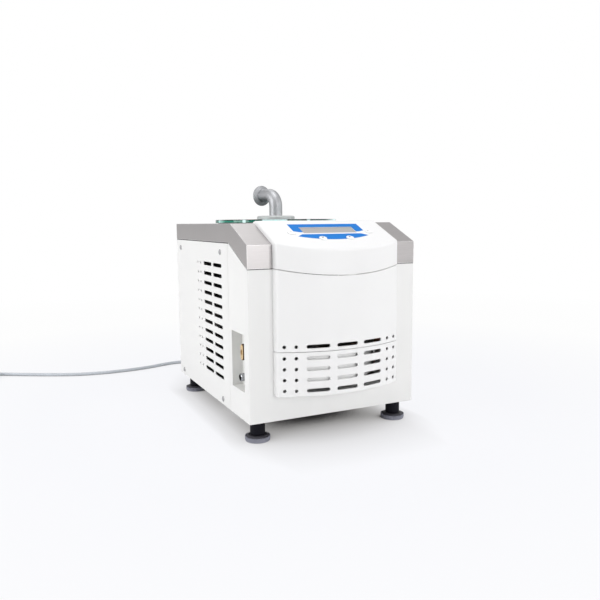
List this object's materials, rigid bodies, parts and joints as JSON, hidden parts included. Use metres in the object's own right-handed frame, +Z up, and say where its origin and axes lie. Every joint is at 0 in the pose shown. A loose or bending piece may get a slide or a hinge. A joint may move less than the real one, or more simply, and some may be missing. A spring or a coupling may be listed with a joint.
{
  "type": "freeze dryer",
  "caption": "Benchtop freeze dryer: sheet-metal housing on four feet with a sloped control hood, a cold chamber under a clear lid with a steel vacuum elbow, a drain tap and a mains cord.",
  "frame": {"origin": "middle of the machine's footprint, at the bench under its feet", "axes": "+Z up; the control panel faces -Y; the side with the drain tap faces -X"},
  "size_m": [0.7793, 0.794, 0.427],
  "materials": {
    "housing_paint": "satin",
    "cover_plastic": "fine satin",
    "panel_film": "satin film",
    "display": "glossy",
    "key_white": "satin",
    "circuit_board": "satin",
    "clear_acrylic": "polished, tinted in its thickness",
    "stainless": "satin",
    "cover_steel": "brushed along its width",
    "plated_steel": "plain",
    "copper": "bright copper",
    "knob_brass": "turned",
    "nozzle_chrome": "polished",
    "seal_rubber": "matt",
    "clear_hose": "milky",
    "foam": "closed-cell foam",
    "recess_white": "satin",
    "compressor_paint": "semi-gloss",
    "fin_aluminium": "bright",
    "fan_plastic": "satin",
    "supply_case": "plain",
    "dark_plastic": "satin",
    "rocker_plastic": "glossy",
    "foot_sleeve": "satin",
    "foot_pad": "matt",
    "cord_sheath": "satin"
  },
  "bodies": {
    "housing": {"base_tray": "housing_paint", "front_frame": "housing_paint", "left_side_panel": "housing_paint", "right_side_panel": "housing_paint", "rear_panel": "housing_paint", "chassis_rails": "plated_steel", "top_cover": "cover_steel", "control_hood": "cover_plastic", "front_cover": "cover_plastic", "front_grille": "cover_plastic", "keypad_overlay": "panel_film", "display_module": "display", "control_board": "circuit_board", "chamber_pot": "stainless", "insulation_jacket": "foam", "evaporator_coil": "stainless", "lid_gasket": "seal_rubber", "lid_plate": "clear_acrylic", "lid_boss": "clear_acrylic", "elbow_seal": "seal_rubber", "valve_recess": "recess_white", "drain_valve_body": "knob_brass", "drain_nozzle": "nozzle_chrome", "drain_hose": "clear_hose", "compressor": "compressor_paint", "compressor_grommets": "seal_rubber", "condenser_fins": "fin_aluminium", "condenser_frame": "supply_case", "condenser_tube": "copper", "fan_shroud": "fan_plastic", "fan_motor": "plated_steel", "filter_drier": "copper", "discharge_line": "copper", "suction_line": "copper", "liquid_line": "copper", "capillary_tube": "copper", "power_supply": "supply_case", "wiring_loom": "dark_plastic", "cable_gland": "dark_plastic", "fuse_holder": "dark_plastic", "switch_frame": "dark_plastic", "foot_sleeves": "foot_sleeve", "foot_nuts": "plated_steel", "panel_screws": "plated_steel", "strain_relief": "cord_sheath", "mains_cord": "cord_sheath", "cord_coil": "cord_sheath", "mains_plug": "cord_sheath"},
    "elbow": {"vacuum_elbow": "stainless"},
    "fan": {"fan_blade": "fan_plastic"},
    "left_key": {"key_left": "key_white"},
    "down_key": {"key_down": "key_white"},
    "up_key": {"key_up": "key_white"},
    "right_key": {"key_right": "key_white"},
    "rocker": {"switch_rocker": "rocker_plastic"},
    "drain_knob": {"drain_knob": "knob_brass"},
    "front_left_foot": {"foot_front_left": "foot_pad"},
    "rear_left_foot": {"foot_rear_left": "foot_pad"},
    "front_right_foot": {"foot_front_right": "foot_pad"},
    "rear_right_foot": {"foot_rear_right": "foot_pad"}
  },
  "joints": [
    {"name": "elbow_turn", "type": "hinge", "parent": "housing", "child": "elbow", "pos_m": [0, 0.05285, 0.37], "axis": [0, 0, 1], "continuous": true},
    {"name": "fan_spin", "type": "hinge", "parent": "housing", "child": "fan", "pos_m": [0, -0.104, 0.09775], "axis": [0, 1, 0], "continuous": true},
    {"name": "rocker_tilt", "type": "hinge", "parent": "housing", "child": "rocker", "pos_m": [0.1482, -0.14075, 0.13], "axis": [0, -1, 0], "range_deg": [-16, 0]},
    {"name": "knob_turn", "type": "hinge", "parent": "housing", "child": "drain_knob", "pos_m": [-0.14, -0.144, 0.1443], "axis": [-1, 0, 0], "range_deg": [0, 90]},
    {"name": "left_key_press", "type": "slide", "parent": "housing", "child": "left_key", "axis": [0, 0.4058, -0.914], "range_m": [0, 0.0008], "stiffness_N_per_m": 900, "springref_m": -0.0003},
    {"name": "down_key_press", "type": "slide", "parent": "housing", "child": "down_key", "axis": [0, 0.4058, -0.914], "range_m": [0, 0.0008], "stiffness_N_per_m": 900, "springref_m": -0.0003},
    {"name": "up_key_press", "type": "slide", "parent": "housing", "child": "up_key", "axis": [0, 0.4058, -0.914], "range_m": [0, 0.0008], "stiffness_N_per_m": 900, "springref_m": -0.0003},
    {"name": "right_key_press", "type": "slide", "parent": "housing", "child": "right_key", "axis": [0, 0.4058, -0.914], "range_m": [0, 0.0008], "stiffness_N_per_m": 900, "springref_m": -0.0003},
    {"name": "front_left_foot_level", "type": "slide", "parent": "housing", "child": "front_left_foot", "axis": [0, 0, -1], "range_m": [0, 0.008]},
    {"name": "rear_left_foot_level", "type": "slide", "parent": "housing", "child": "rear_left_foot", "axis": [0, 0, -1], "range_m": [0, 0.008]},
    {"name": "front_right_foot_level", "type": "slide", "parent": "housing", "child": "front_right_foot", "axis": [0, 0, -1], "range_m": [0, 0.008]},
    {"name": "rear_right_foot_level", "type": "slide", "parent": "housing", "child": "rear_right_foot", "axis": [0, 0, -1], "range_m": [0, 0.008]}
  ]
}
